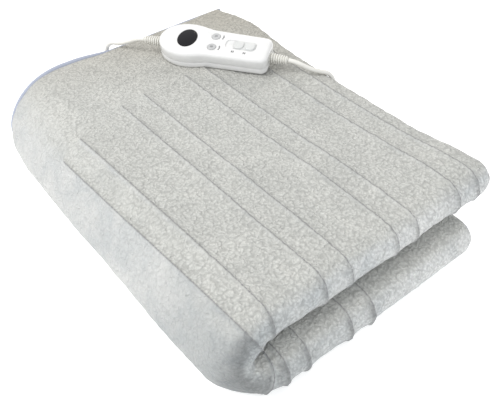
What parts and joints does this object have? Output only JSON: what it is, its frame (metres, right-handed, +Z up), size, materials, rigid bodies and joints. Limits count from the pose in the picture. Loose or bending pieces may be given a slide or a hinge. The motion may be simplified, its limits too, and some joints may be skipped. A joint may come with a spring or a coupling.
{
  "type": "heated blanket",
  "caption": "Quilted fleece heated blanket folded into a thick stack, with a white hand controller lying on it, a lead to the blanket and a mains lead in a tied hank.",
  "frame": {"origin": "centre of the folded stack's footprint, on the surface that it rests on", "axes": "+Z up; -Y towards the round front folds; -X towards the left fold; the hem is at +Y"},
  "size_m": [0.4174, 0.5701, 0.1157],
  "materials": {
    "fleece": "plush pile",
    "felt": "needled felt",
    "binding": "woven tape",
    "heating_wire": "smooth insulation",
    "casing": "polished",
    "window": "polished",
    "button": "satin",
    "cord": "satin",
    "board": "solder mask",
    "component": "moulded",
    "capacitor": "moulded",
    "tie": "satin",
    "metal": "bright"
  },
  "bodies": {
    "blanket": {"outer_fleece": "fleece", "inner_fleece": "fleece", "carrier_felt": "felt", "hem_outer_end": "binding", "hem_inner_end": "binding", "hem_upper_side": "binding", "hem_lower_side": "binding", "connector_tab": "binding", "heating_wire": "heating_wire", "case_top": "casing", "case_bottom": "casing", "blanket_socket": "casing", "blanket_lead_plug": "casing", "display_window": "window", "mains_strain_relief": "cord", "blanket_strain_relief": "cord", "mains_lead_tail": "cord", "blanket_lead_tail": "cord", "mains_lead": "cord", "mains_lead_hank": "cord", "mains_lead_end": "cord", "plug_sleeve": "cord", "mains_plug_body": "cord", "blanket_lead": "cord", "blanket_plug_sleeve": "cord", "circuit_board": "board", "display_module": "component", "heat_tact_switch": "component", "timer_tact_switch": "component", "slide_switch_body": "component", "mains_terminals": "component", "blanket_terminals": "component", "triac": "component", "thermal_fuse": "component", "suppressor_capacitor": "capacitor", "hank_tie": "tie", "case_screw_1": "metal", "case_screw_2": "metal", "case_screw_3": "metal", "case_screw_4": "metal", "heatsink": "metal", "plug_pin_1": "metal", "plug_pin_2": "metal"},
    "heat_button_body": {"heat_button": "button"},
    "timer_button_body": {"timer_button": "button"},
    "slide_knob_body": {"slide_knob": "casing"}
  },
  "joints": [
    {"name": "heat_button_press", "type": "slide", "parent": "blanket", "child": "heat_button_body", "axis": [0.1703, 0.1193, -0.9781], "range_m": [0, 0.0008], "stiffness_N_per_m": 600},
    {"name": "timer_button_press", "type": "slide", "parent": "blanket", "child": "timer_button_body", "axis": [0.1703, 0.1193, -0.9781], "range_m": [0, 0.0008], "stiffness_N_per_m": 600},
    {"name": "power_slide", "type": "slide", "parent": "blanket", "child": "slide_knob_body", "axis": [-0.5736, 0.8192, 0], "range_m": [0, 0.008]}
  ]
}
